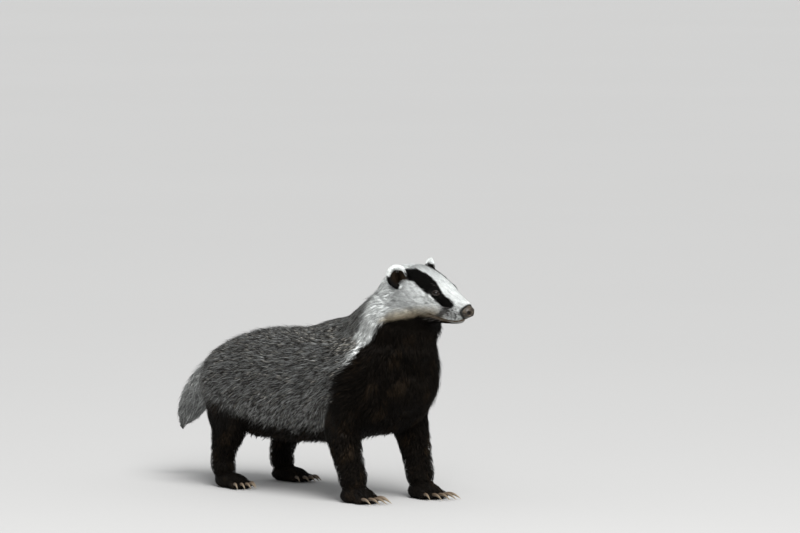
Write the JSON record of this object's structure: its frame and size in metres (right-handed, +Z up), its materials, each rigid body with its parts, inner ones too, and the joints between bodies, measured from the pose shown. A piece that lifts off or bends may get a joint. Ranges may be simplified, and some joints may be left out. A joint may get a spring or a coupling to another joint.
{
  "type": "european badger",
  "caption": "Life-size badger standing on four feet, head raised and turned, with striped face, grizzled long coat, dark legs, digging claws and short tail.",
  "frame": {"origin": "on the floor, under the middle of the whole animal's box", "axes": "+X from rump to chest, +Y to the animal's left, +Z up"},
  "size_m": [0.7332, 0.2196, 0.4081],
  "materials": {
    "grizzled_coat": "long coarse banded fur, silver grey over dark",
    "face_fur": "short white fur with a black stripe through each eye",
    "dark_fur": "black-brown fur",
    "nose_leather": "moist pebbled skin",
    "eye": "wet and glossy",
    "claw_horn": "worn horn, pale towards the point"
  },
  "bodies": {
    "root": {"ear_left": "dark_fur", "ear_right": "dark_fur", "eye_left": "eye", "eye_right": "eye", "foreclaw_left_1": "claw_horn", "foreclaw_left_2": "claw_horn", "foreclaw_left_3": "claw_horn", "foreclaw_left_4": "claw_horn", "foreclaw_left_5": "claw_horn", "foreclaw_right_1": "claw_horn", "foreclaw_right_2": "claw_horn", "foreclaw_right_3": "claw_horn", "foreclaw_right_4": "claw_horn", "foreclaw_right_5": "claw_horn", "foreleg_left": "dark_fur", "foreleg_right": "dark_fur", "forepaw_left": "dark_fur", "forepaw_right": "dark_fur", "head": "face_fur", "hindclaw_left_1": "claw_horn", "hindclaw_left_2": "claw_horn", "hindclaw_left_3": "claw_horn", "hindclaw_left_4": "claw_horn", "hindclaw_left_5": "claw_horn", "hindclaw_right_1": "claw_horn", "hindclaw_right_2": "claw_horn", "hindclaw_right_3": "claw_horn", "hindclaw_right_4": "claw_horn", "hindclaw_right_5": "claw_horn", "hindleg_left": "dark_fur", "hindleg_right": "dark_fur", "hindpaw_left": "dark_fur", "hindpaw_right": "dark_fur", "lower_jaw": "face_fur", "neck": "dark_fur", "nose": "nose_leather", "tail": "grizzled_coat", "torso": "grizzled_coat"}
  },
  "joints": []
}
